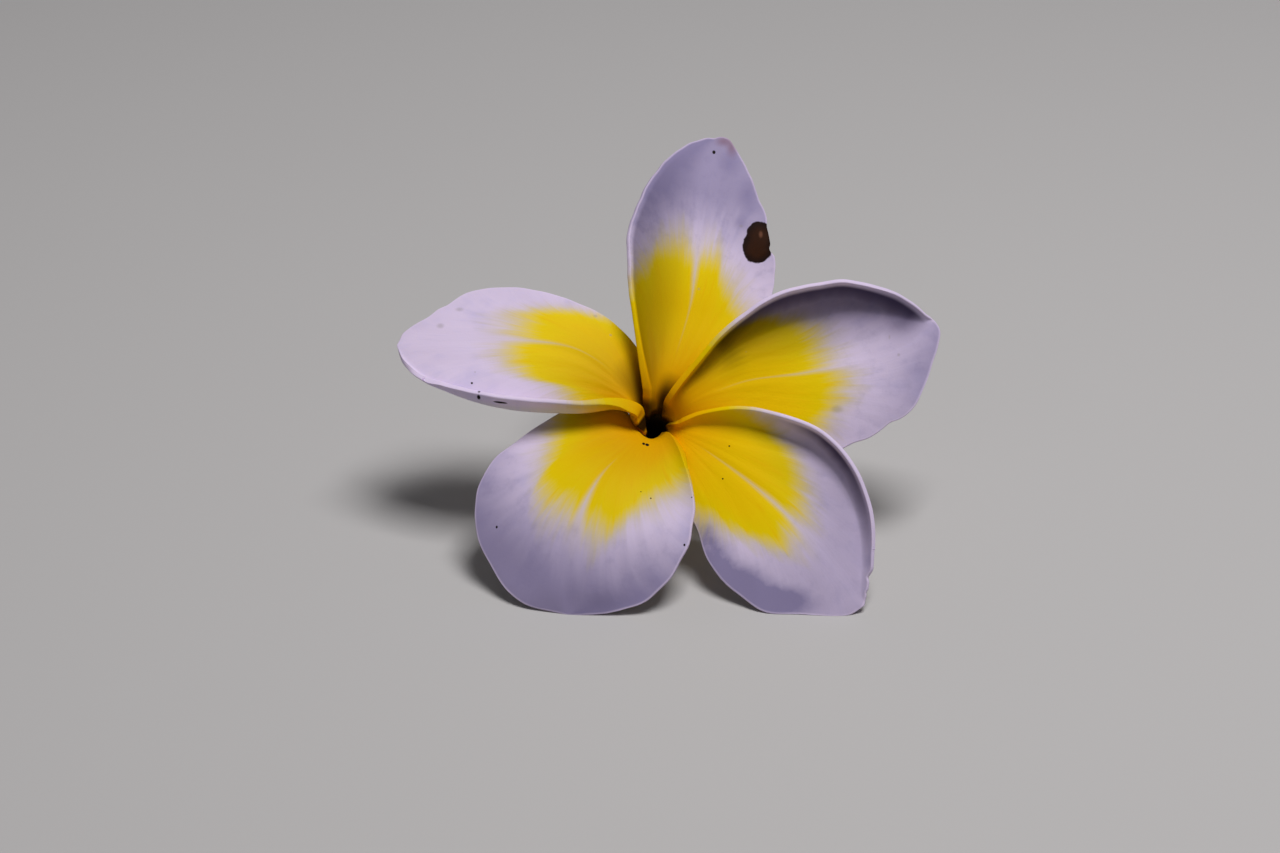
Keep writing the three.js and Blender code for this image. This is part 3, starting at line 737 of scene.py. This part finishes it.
class StudioSettings(bpy.types.PropertyGroup):
    """The floor, lights and camera."""

    floor: hue("Floor", "The plain floor", (0.52, 0.51, 0.50))
    lens: bpy.props.FloatProperty(
        name="Lens", description="Focal length", unit="CAMERA", subtype="DISTANCE_CAMERA", default=85)
    key: bpy.props.FloatProperty(
        name="Key light", description="Power of the soft light from above", unit="POWER", default=3.35)
    fill: bpy.props.FloatProperty(
        name="Fill light", description="Power of the light from the front", unit="POWER", default=0.14)
    sky: bpy.props.FloatProperty(name="Surround", description="Strength of the pale surround", default=0.09)


# ---- petals

def signed_across(form, s, t, points):
    """Distance in mm from the midrib, negative on the lip's side."""
    rib = petal_surface(form, s, np.full_like(s, 0.5))
    return np.linalg.norm(points - rib, axis=-1) * np.sign(t - 0.5)


def petal_relief(seed, x, y, s, t, across, edge, settings):
    """How far each front point stands out from the plain surface, in mm."""
    clear = ramp(s, *RELIEF_IN)
    groove = -settings.groove / MM * bump_at(across, GROOVE_REACH) * clear * ramp(s, *GROOVE_OUT)
    veins = VEIN_HEIGHT * ripple(seed, x * VEINS_X, y * VEINS_Y) * clear
    swell = SWELL_HEIGHT * ripple(seed + 1, s * SWELLS_S, t * SWELLS_T) * clear
    wave = settings.wave / MM * ripple(seed + 2, x * WAVES_X, s * WAVES_S)
    wave = wave * bump_at(edge, WAVE_REACH) * ramp(s, *WAVE_IN)
    return groove + veins + swell * ramp(edge, 0, SWELL_REACH) + wave


def outline_distance(points, outline):
    """The distance in mm from each point to the petal's outline, in parts to save memory."""
    flat = points.reshape(-1, 3)
    nearest = np.full(len(flat), np.inf)
    for chunk in np.array_split(outline, OUTLINE_PARTS):
        gap = np.linalg.norm(flat[:, None] - chunk[None], axis=-1).min(1)
        nearest = np.minimum(nearest, gap)
    return nearest.reshape(points.shape[:-1])


def petal_thickness(form, x, s, across, edge, lip_side, settings):
    """A petal's thickness in metres at each point."""
    thin = settings.margin + (settings.blade - settings.margin) * ramp(edge, 0, MARGIN_REACH)
    throat = ramp(s, *THROAT_OUT)
    thin = thin + (settings.blade - thin) * throat
    rim = (settings.rim - thin) * form["rim"] * bump_at(edge, RIM_REACH) * lip_side
    rib = RIB_EXTRA * MM * bump_at(across, RIB_REACH) * ramp(s, *RIB_OUT) * (1 - throat)
    root = form["tongue"] * MM * bump_at(s - TONGUE_AT, TONGUE_LENGTH) * bump_at(edge, TONGUE_REACH)
    return thin + rim + rib + root * (x > 0) * ramp(s, *TONGUE_IN)


def make_petal(node, form, seed, settings):
    """Makes one petal from a grid laid over its surface, thickened to its back and rounded."""
    columns, rows = settings.columns, settings.rows
    x, y = petal_chart(columns, rows)
    s, t = from_chart(x, y)
    points = petal_surface(form, s, t)

    side = np.where(x >= 0, 1.0, -1.0)
    up = np.where(y > 0.5, -1.0, 1.0)
    step_x = petal_surface(form, *from_chart(x - side * CHART_STEP, y)) - points
    step_y = petal_surface(form, *from_chart(x, y + up * CHART_STEP)) - points
    along_x, along_y = -step_x * side[..., None], step_y * up[..., None]
    normal = np.cross(along_x, along_y)
    normal /= np.linalg.norm(normal, axis=-1, keepdims=True)
    if normal[..., 2].mean() < 0:
        normal = -normal
    inward = along_y / np.linalg.norm(along_y, axis=-1, keepdims=True)

    ends = np.linspace(0, 1, OUTLINE_STEPS)
    outline = np.vstack([petal_surface(form, ends, np.full_like(ends, margin)) for margin in (0, 1)])
    edge = outline_distance(points, outline)
    across = signed_across(form, s, t, points)

    lip_side = (x > 0) * ramp(s, *LIP_IN) * ramp(s, *LIP_OUT)
    relief = petal_relief(seed, x, y, s, t, across, edge, settings)
    relief = relief + BEAD_HEIGHT * form["rim"] * bump_at(edge, BEAD_REACH) * lip_side
    dent = UNEVEN_HEIGHT * ripple(seed + 3, x * UNEVEN_X) * ramp(s, *UNEVEN_IN)
    for place, width, depth, steepness in form["dents"]:
        dent = dent + depth * np.exp(-np.abs((x - place) / width) ** steepness)
    moved = points + normal * relief[..., None]
    moved += inward * (dent * bump_at(edge, DENT_REACH))[..., None]
    thick = petal_thickness(form, x, s, across, edge, lip_side, settings)

    roots = [moved[:1] * [radius, radius, 1] - [0, 0, down] for down, radius in ROOT_ROWS]
    moved = np.vstack([*roots, moved])
    x, s, t, edge, thick, across, points = (
        np.concatenate([values[:1]] * len(ROOT_ROWS) + [values])
        for values in (x, s, t, edge, thick, across, points)
    )
    rows += len(ROOT_ROWS)
    distance = np.linalg.norm(points, axis=-1)
    distance[:len(ROOT_ROWS)] -= np.array(ROOT_ROWS)[:, :1] * ROOT_PAINT

    start_clear()
    bpy.ops.mesh.primitive_grid_add(
        x_subdivisions=columns - 1, y_subdivisions=rows - 1, size=PETAL_LENGTH_MM * MM, location=(0, 0, 0))
    petal = bpy.context.object
    mesh = petal.data
    while mesh.uv_layers:
        mesh.uv_layers.remove(mesh.uv_layers[0])
    grid = corners(mesh) / (PETAL_LENGTH_MM * MM) + 0.5
    column = np.rint(grid[:, 0] * (columns - 1)).astype(int)
    row = np.rint(grid[:, 1] * (rows - 1)).astype(int)
    front = to_part(moved)[row, column]
    move_corners(mesh, front)
    for name, first, second in (
        ("Blade", t, s),
        ("Ruler", across / RULER_MM + 0.5, distance / RULER_MM),
        ("Fan", x / 2 + 0.5, np.clip(edge / EDGE_MM, 0, 1)),
    ):
        add_map(mesh, name, first[row, column], second[row, column])

    facing = Vector(to_part(np.array((0.0, 0.0, 1.0))) - to_part(np.zeros(3)))
    if sum(face.normal.dot(facing) * face.area for face in mesh.polygons) < 0:
        edit(bpy.ops.mesh.flip_normals)
    weights = petal.vertex_groups.new(name="thickness")
    for index, value in enumerate((thick / FULL_WEIGHT)[row, column]):
        weights.add([index], float(value), "REPLACE")
    apply_modifier(petal, "SOLIDIFY", thickness=FULL_WEIGHT, offset=-1, vertex_group="thickness")
    petal.vertex_groups.clear()
    gap = np.linalg.norm(corners(mesh)[:len(front)] - front, axis=1).max()
    if gap > SAME_PLACE or len(mesh.vertices) != 2 * len(front):
        raise RuntimeError(f"{node}: the thickened petal has lost its front face")
    back = (np.arange(len(mesh.vertices)) >= len(front)).astype(float)
    add_map(mesh, "Side", back, back)
    apply_modifier(petal, "SUBSURF", levels=1, render_levels=1)
    if corners(mesh)[:, 2].min() < 0:
        edit(lambda: bpy.ops.mesh.bisect(
            plane_co=(0, 0, 0), plane_no=(0, 0, 1), use_fill=True, clear_inner=True, threshold=1e-7))
    bpy.ops.object.shade_smooth_by_angle(angle=SMOOTH_ANGLE)
    return petal


def petal_finish(name, form, seed, settings):
    """White petal skin with its own yellow heart, streaks, veins, bruises and specks, painted shade and a
    painted highlight on the rim.
    """
    skin = Finish(name)
    t, _ = skin.map_parts("Blade")
    across, distance = skin.map_parts("Ruler")
    across, distance = (across - 0.5) * RULER_MM, distance * RULER_MM
    fan, edge = skin.map_parts("Fan")
    edge = edge * EDGE_MM
    back, _ = skin.map_parts("Side")
    place = skin.object_place()

    skin.lines = streak, hair = [
        skin.noise(skin.node("ShaderNodeCombineXYZ", None, {
            0: fan * around, 1: distance * outwards, 2: float(seed + shift)}), scale=1) - 0.5
        for around, outwards, shift in LINES
    ]
    cloud = skin.noise(place, scale=0.16, detail=3, roughness=0.55)
    mottle = skin.noise(place, scale=0.5, detail=4, roughness=0.65)
    pebble = skin.noise(place, scale=3.2, detail=3, roughness=0.6)
    wobble = (skin.noise(place, scale=0.9) - 0.5) * MARK_WOBBLE

    # The yellow heart, its cream fringe and the white wedge that splits them.
    curve = [(at, far / YELLOW_MM) for at, far in form["zone"]]
    zone = skin.node("ShaderNodeFloatCurve", {"points": curve}, {"Value": t}) * YELLOW_MM
    by_streak, by_hair, by_all = YELLOW_SHIFT
    within = zone - distance + streak * by_streak + hair * by_hair + by_all
    rib_at, wedge_from, widening = form["wedge"]
    off_rib = abs(across - (rib_at - 0.5) * WEDGE_SPAN)
    wedge = skin.blend((distance - wedge_from) * widening - off_rib, "wedge")
    yellow = skin.blend(within, "yellow") * (1 - wedge)
    cream = skin.blend(within, "cream") * (1 - wedge * WEDGE_IN_CREAM)

    # The white, cooled in clouds, with painted shade at the far end and along one side.
    white = skin.coats(
        settings.white, (cloud - edge * COOL_EDGE, "cool", settings.lilac),
        (hair, "cool hairs", settings.lilac))
    start, full, share, side_start, side_full, side_share, wanes, ends = form["dusk"]
    dusk = skin.smooth(distance + streak * DUSK_STREAK, start, full, share)
    band = skin.smooth(t + (cloud - 0.5) * BAND_CLOUD, side_start, side_full, side_share)
    band = band * skin.smooth(distance, ends, wanes) * skin.blend(distance, "band start")
    white = skin.mix(dusk + band * (0.5 + mottle), white, settings.dusk)
    mottled = skin.blend(mottle, "mottle") * skin.blend(distance, "mottle start")
    white = skin.mix(mottled * share, white, settings.dusk)

    heart = skin.coats(
        settings.orange, (distance, "orange", settings.yellow), (within, "lemon", settings.lemon),
        (hair, "orange hairs", settings.orange))
    rib_line = skin.blend(off_rib, "rib") * skin.blend(distance, "rib start")
    heart = skin.mix(rib_line, heart, settings.cream)
    face = skin.mix(cream, white, settings.cream)
    face = skin.mix(yellow, face, heart)

    # Painted shade in the hollow by the raised lip, then a painted highlight that keeps the rim light.
    if "hollow" in form:
        near, full, fades, gone, side_share, reach, wall_share = form["hollow"]
        side = skin.blend(t, "lip side") * skin.smooth(distance, near, full, side_share)
        wall = skin.smooth(edge + streak * WALL_STREAK, reach, WALL_FULL, wall_share)
        wall = wall * skin.smooth(distance, max(WALL_FROM, near + WALL_DELAY), max(WALL_TO, full))
        hollow = skin.maths("MAXIMUM", side, wall) * skin.smooth(distance, gone, fades)
        hollow = hollow * skin.blend(edge, "off rim") * skin.blend(across, "off rib")
        face = skin.mix(hollow, face, settings.hollow, "MULTIPLY")
    # Painted highlight: outside the yellow, the rim goes back to the plain white over the painted shade.
    rim_highlight = skin.blend(edge, "rim highlight") * skin.blend(within, "past yellow")
    face = skin.mix(rim_highlight, face, settings.white)

    # Painted shade at the throat: beside it, in a wider dimming round it and in its dark mouth.
    start, full, near, far, share, dim = form["valley"]
    valley = skin.smooth(t, start, full) * skin.smooth(distance, far, near, share)
    deep = skin.maths("MAXIMUM", valley, skin.blend(distance, "dim") * dim)
    deep = skin.maths("MAXIMUM", deep, skin.smooth(distance, *form["mouth"], MOUTH_DARK))
    face = skin.mix(deep, face, settings.deep)

    under = skin.coats(
        settings.back, (streak, "back lines", settings.lilac), (distance, "back yellow", settings.yellow),
        (distance, "back green", settings.green))
    colour = skin.mix(skin.blend(back, "back") * skin.blend(edge, "back edge"), face, under)
    # The rows that run down the tube are darkened with the same painted shade.
    colour = skin.mix(skin.blend(distance, "root"), colour, settings.deep)

    patch = None
    for at, far, half_width, half_height, tone in form["marks"]:
        squeeze = (1 / half_width, 1 / half_height, 1 / half_height)
        offset = tuple(-m * q for m, q in zip(mark_place(form, at, far), squeeze))
        shifted = skin.vectors("MULTIPLY_ADD", place, squeeze, offset)
        away = skin.vectors("LENGTH", shifted, output=1)
        strength, softness = MARK_TONES[tone]
        tint = getattr(settings, tone)
        if tone == "brown":
            away = skin.maths("SMOOTH_MIN", away, patch, PATCH_JOIN) if patch else away
            patch = away
            tint = skin.mix(skin.blend(away + wobble, "patch"), settings.amber, tint)
        mark = skin.smooth(1 + wobble - away, -softness, softness, strength)
        colour = skin.mix(mark, colour, tint)

    height = streak * 0.5 + hair * 0.35 + pebble * 0.3
    return skin.surface(
        base_color=colour, roughness=0.46 + pebble * 0.12,
        normal=skin.bump(height, distance=0.00012, strength=0.35),
        subsurface_weight=0.08, subsurface_radius=(1.0, 0.85, 0.6), subsurface_scale=0.0006,
        specular_ior_level=0.05)


def mark_place(form, at, far):
    """The part's millimetres of a mark's middle, from its share across and mm from the throat."""
    s = np.linspace(*MARK_SEARCH)
    points = petal_surface(form, s, np.full_like(s, max(at, 0)))
    nearest = np.abs(np.linalg.norm(points, axis=-1) - far).argmin()
    below = np.array((0, at, LIP_FALL * at)) if at < 0 else 0
    return tuple(float(c) for c in to_part(points[nearest] + below) / MM)


# ---- operators

class FRANGIPANI_OT_petals(bpy.types.Operator):
    """Makes the five petals"""

    bl_idname = "frangipani.petals"
    bl_label = "Petals"

    def execute(self, context):
        settings = context.scene.frangipani_petals
        for order, (node, form) in enumerate(PETALS.items()):
            seed = PETAL_SEED + SEED_STEP * order
            petal = make_petal(node, form, seed, settings)
            finish = petal_finish(f"{node} skin", form, seed, settings)
            finish_piece(petal, f"{node}_blade", node, finish)
        return {"FINISHED"}


class FRANGIPANI_OT_tube(bpy.types.Operator):
    """Makes the tube behind the petals"""

    bl_idname = "frangipani.tube"
    bl_label = "Tube"

    def execute(self, context):
        settings = context.scene.frangipani_tube
        start_clear()
        radius, height = TUBE_PROFILE[0]
        bpy.ops.mesh.primitive_circle_add(vertices=TUBE_SIDES, radius=radius, location=(0, 0, height))
        bpy.ops.object.transform_apply(location=True)
        tube = bpy.context.object
        bpy.ops.object.mode_set(mode="EDIT")
        bpy.ops.mesh.select_all(action="SELECT")
        for next_radius, next_height in TUBE_PROFILE[1:]:
            bpy.ops.mesh.extrude_region_move(
                TRANSFORM_OT_translate={"value": (0, 0, next_height - height)})
            scale = next_radius / radius
            bpy.ops.transform.resize(value=(scale, scale, 1), center_override=(0, 0, next_height))
            radius, height = next_radius, next_height
        bpy.ops.mesh.select_all(action="DESELECT")
        bpy.ops.mesh.select_non_manifold()
        bpy.ops.mesh.bridge_edge_loops()
        bpy.ops.mesh.select_all(action="SELECT")
        bpy.ops.mesh.normals_make_consistent(inside=False)
        bpy.ops.object.mode_set(mode="OBJECT")
        apply_modifier(tube, "SUBSURF", levels=1, render_levels=1)

        places = corners(tube.data)
        angle = np.arctan2(places[:, 1], places[:, 0])
        from_axis = np.hypot(places[:, 0], places[:, 1])
        z = places[:, 2]
        twisted = TUBE_RIBS * angle + TUBE_TWIST * z
        ribs = np.cos(twisted) + FINE_RIBS * np.cos(twisted + TUBE_RIBS * angle + 1)
        ribs = ribs * settings.ribbing / MM * (from_axis > TUBE_MID_WALL) * ramp(z, *RIBS_FADE)
        places[:, :2] *= (1 + ribs / from_axis)[:, None]
        ragged = RAGGED_HEIGHT * ripple(RAGGED_SEED, angle, angle * 3) * ramp(z, *RAGGED_FADE)
        places[:, 2] = np.maximum(z + np.abs(ragged), TUBE_PROFILE[0][1])
        move_corners(tube.data, places)
        tube.data.transform(axis_matrix())
        places = corners(tube.data)
        places[:, 2] = np.maximum(places[:, 2], 0)
        move_corners(tube.data, places)
        bpy.ops.object.shade_smooth_by_angle(angle=TUBE_SMOOTH)

        skin = Finish("tube skin")
        place = skin.object_place()
        axis = (0, -math.cos(AXIS_ELEVATION), math.sin(AXIS_ELEVATION))
        from_throat = skin.vectors("SUBTRACT", place, THROAT)
        along_tube = skin.vectors("DOT_PRODUCT", from_throat, axis, output=1)
        off_axis = skin.vectors("LENGTH", skin.vectors("CROSS_PRODUCT", from_throat, axis), output=1)
        soft = skin.noise(place, scale=0.5, detail=3)
        grain = skin.noise(place, scale=3, detail=3)
        colour = skin.coats(
            settings.green, (along_tube + soft * MOUTH_CLOUD, "tube mouth", settings.pale),
            (soft, "tube clouds", settings.pale),
            (along_tube - soft * TORN_CLOUD, "tube torn", settings.torn))
        # Painted shade down the bore and on the flare's inner wall, where the tube's inside lies in shade.
        wall = BORE_PAINT + skin.blend(along_tube, "flare")
        painted_bore_shade = skin.blend(off_axis - wall, "flare wall") * skin.blend(along_tube, "lining end")
        painted_bore_shade = skin.maths("MAXIMUM", painted_bore_shade, skin.blend(off_axis, "bore"))
        colour = skin.mix(painted_bore_shade, colour, settings.painted_bore_shade)
        skin.surface(
            base_color=colour, roughness=0.45 + grain * 0.15,
            normal=skin.bump(grain + soft, distance=0.00012, strength=0.3),
            subsurface_weight=0.1, subsurface_radius=(0.8, 0.8, 0.4), subsurface_scale=0.0008)
        finish_piece(tube, "flower_tube", "corolla_tube", skin.material)
        return {"FINISHED"}


class FRANGIPANI_OT_anthers(bpy.types.Operator):
    """Makes the ring of five anthers inside the tube"""

    bl_idname = "frangipani.anthers"
    bl_label = "Anthers"

    def execute(self, context):
        settings = context.scene.frangipani_anthers
        start_clear()
        bpy.ops.mesh.primitive_uv_sphere_add(segments=16, ring_count=14, radius=1, location=(0, 0, 0))
        first = bpy.context.object
        places = corners(first.data)
        up = (places[:, 2] + 1) / 2
        angle = np.arctan2(places[:, 1], places[:, 0])
        flute = 1 - ANTHER_FLUTE + ANTHER_FLUTE * np.cos(2 * angle)
        places[:, :2] *= (ANTHER_RADIUS * (1 - ANTHER_TAPER * up) * flute)[:, None]
        places[:, 2] = up * ANTHER_LENGTH
        move_corners(first.data, places)
        stand = Matrix.Translation((ANTHER_RING_RADIUS, 0, ANTHER_N - ANTHER_LENGTH / 2))
        first.data.transform(stand @ Matrix.Rotation(-ANTHER_LEAN, 4, "Y"))
        ring = [first]
        for turn in range(1, ANTHER_COUNT):
            copy = first.copy()
            copy.data = first.data.copy()
            copy.data.transform(Matrix.Rotation(2 * math.pi * turn / ANTHER_COUNT, 4, "Z"))
            context.collection.objects.link(copy)
            ring.append(copy)
        start_clear()
        for anther in ring:
            anther.select_set(True)
        context.view_layer.objects.active = first
        bpy.ops.object.join()
        anthers = bpy.context.object
        anthers.data.transform(axis_matrix())
        bpy.ops.object.shade_smooth_by_angle(angle=SMOOTH_ANGLE)

        skin = Finish("anther skin")
        place = skin.object_place()
        dust = skin.noise(place, scale=6, detail=3)
        patch = skin.noise(place, scale=1.4)
        colour = skin.coats(settings.pollen, (patch, "anther seams", settings.seam))
        skin.surface(
            base_color=colour, roughness=0.7 + dust * 0.2,
            normal=skin.bump(dust, distance=0.00006, strength=0.5))
        finish_piece(anthers, "anther_ring", "stamens", skin.material)
        return {"FINISHED"}


class FRANGIPANI_OT_studio(bpy.types.Operator):
    """Makes the pale floor, the soft lights and the camera"""

    bl_idname = "frangipani.studio"
    bl_label = "Studio"

    def execute(self, context):
        settings = context.scene.frangipani_studio
        scene = context.scene
        throat = Vector(THROAT) * MM

        start_clear()
        bpy.ops.mesh.primitive_plane_add(size=FLOOR_SIZE, location=(0, 0, 0))
        floor = bpy.context.object
        floor.name = "studio_floor"
        floor.data.transform(Matrix.Translation((0, 0, -FLOOR_GAP)))
        paint = Finish("floor paint")
        mottle = paint.noise(paint.object_place(), scale=0.02, detail=3)
        shade = [FLOOR_SHADE * c for c in settings.floor]
        tone = paint.mix(mottle * FLOOR_MOTTLE, settings.floor, shade)
        floor.data.materials.append(paint.surface(base_color=tone, roughness=0.85))

        for name, spot, lamp, share, size, tint in SOFTBOXES:
            bpy.ops.object.light_add(type="AREA", location=spot)
            light = bpy.context.object
            light.name = name
            light.data.energy = getattr(settings, lamp) * share
            light.data.size = size
            light.data.color = tint
            light.rotation_euler = (throat - Vector(spot)).to_track_quat("-Z", "Y").to_euler()

        surround = bpy.data.worlds.new("pale surround")
        surround.use_nodes = True
        sky = surround.node_tree.nodes["Background"]
        sky.inputs["Color"].default_value = SKY_TINT
        sky.inputs["Strength"].default_value = settings.sky
        scene.world = surround
        scene.view_settings.view_transform = "Standard"

        ahead = Vector((0, math.cos(CAMERA_ELEVATION), -math.sin(CAMERA_ELEVATION)))
        bpy.ops.object.camera_add(location=throat - ahead * CAMERA_DISTANCE)
        camera = bpy.context.object
        camera.name = "front_camera"
        camera.rotation_euler = (math.pi / 2 - CAMERA_ELEVATION, 0, 0)
        camera.data.lens = settings.lens
        camera.data.sensor_width = SENSOR_WIDTH
        camera.data.shift_x = (FRAME_WIDTH / 2 - THROAT_PIXEL[0]) / FRAME_WIDTH
        camera.data.shift_y = (THROAT_PIXEL[1] - FRAME_HEIGHT / 2) / FRAME_WIDTH
        camera.data.clip_start, camera.data.clip_end = CAMERA_CLIP
        camera.data.dof.use_dof = False
        scene.camera = camera
        return {"FINISHED"}


class FRANGIPANI_PT_panel(bpy.types.Panel):
    """Lists the flower's makers"""

    bl_idname = "FRANGIPANI_PT_panel"
    bl_label = "Frangipani"
    bl_space_type = "VIEW_3D"
    bl_region_type = "UI"
    bl_category = "Frangipani"

    def draw(self, context):
        for operator, group in zip(OPERATORS, GROUPS):
            box = self.layout.box()
            box.operator(operator.bl_idname)
            settings = getattr(context.scene, group)
            for name in settings.bl_rna.properties.keys():
                if name not in ("name", "rna_type"):
                    box.prop(settings, name)


GROUPS = {
    "frangipani_petals": PetalSettings,
    "frangipani_tube": TubeSettings,
    "frangipani_anthers": AntherSettings,
    "frangipani_studio": StudioSettings,
}
OPERATORS = (FRANGIPANI_OT_petals, FRANGIPANI_OT_tube, FRANGIPANI_OT_anthers, FRANGIPANI_OT_studio)
CLASSES = (*GROUPS.values(), *OPERATORS, FRANGIPANI_PT_panel)


def register():
    for held in CLASSES:
        bpy.utils.register_class(held)
    for name, group in GROUPS.items():
        setattr(bpy.types.Scene, name, bpy.props.PointerProperty(type=group))


def unregister():
    for name in GROUPS:
        delattr(bpy.types.Scene, name)
    for held in reversed(CLASSES):
        bpy.utils.unregister_class(held)


def main():
    register()
    bpy.ops.frangipani.petals()
    bpy.ops.frangipani.tube()
    bpy.ops.frangipani.anthers()
    bpy.ops.frangipani.studio()


if __name__ == "__main__":
    main()
